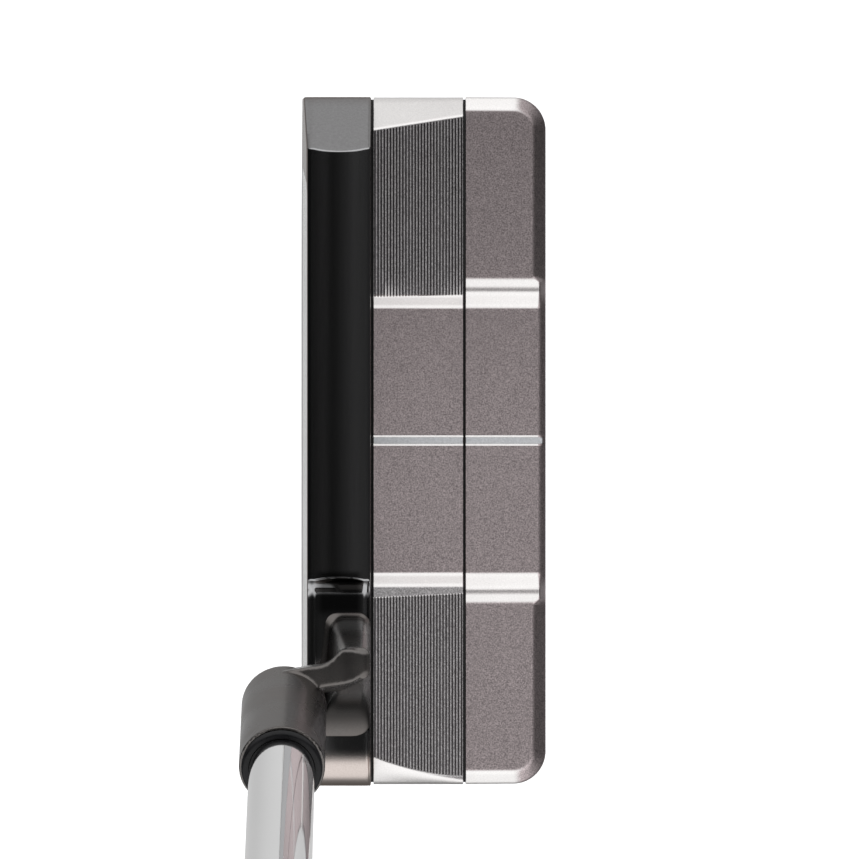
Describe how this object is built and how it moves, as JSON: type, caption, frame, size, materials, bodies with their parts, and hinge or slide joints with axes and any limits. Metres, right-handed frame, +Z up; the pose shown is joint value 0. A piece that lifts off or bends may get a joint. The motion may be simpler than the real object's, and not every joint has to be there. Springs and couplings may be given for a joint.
{
  "type": "mallet putter",
  "caption": "Wide-body mallet putter with a milled three-section head, crank neck, stepped steel shaft and pistol grip.",
  "frame": {"origin": "centre of the flat sole plate's lower face, on the sight line", "axes": "+X from the striking face to the rear of the head, +Y from heel to toe, +Z up at address with the sole flat"},
  "size_m": [0.0535, 0.3896, 0.8146],
  "materials": {
    "black_steel": "polished black coating",
    "milled_face": "fine milled",
    "elastomer": "matt",
    "deck_bronze_grey": "bead-blasted, milled grooves on the wings",
    "flange_bronze_grey": "bead-blasted satin",
    "sight_paint": "white enamel fill",
    "plate_aluminium": "satin",
    "screw_steel": "satin",
    "weight_steel": "turned",
    "neck_graphite": "satin dark coating",
    "ferrule_plastic": "gloss",
    "shaft_chrome": "polished",
    "tape": "paper tape",
    "grip_rubber": "fine pebble texture"
  },
  "bodies": {
    "club": {"front_body": "black_steel", "face_insert": "milled_face", "insert_backing": "elastomer", "mid_deck": "deck_bronze_grey", "rear_flange": "flange_bronze_grey", "sight_line_mid": "sight_paint", "sight_line_rear": "sight_paint", "sole_plate": "plate_aluminium", "sole_screw_front_toe": "screw_steel", "sole_screw_front_heel": "screw_steel", "sole_screw_rear_toe": "screw_steel", "sole_screw_rear_heel": "screw_steel", "toe_weight_washer": "elastomer", "heel_weight_washer": "elastomer", "hosel_neck": "neck_graphite", "neck_screw": "screw_steel", "ferrule": "ferrule_plastic", "shaft": "shaft_chrome", "grip_tape": "tape", "grip": "grip_rubber", "grip_cap": "grip_rubber"},
    "toe_weight": {"toe_weight": "weight_steel"},
    "heel_weight": {"heel_weight": "weight_steel"}
  },
  "joints": [
    {"name": "toe_weight_unscrew", "type": "slide", "parent": "club", "child": "toe_weight", "axis": [0, 0, -1], "range_m": [0, 0.012]},
    {"name": "heel_weight_unscrew", "type": "slide", "parent": "club", "child": "heel_weight", "axis": [0, 0, -1], "range_m": [0, 0.012]}
  ]
}
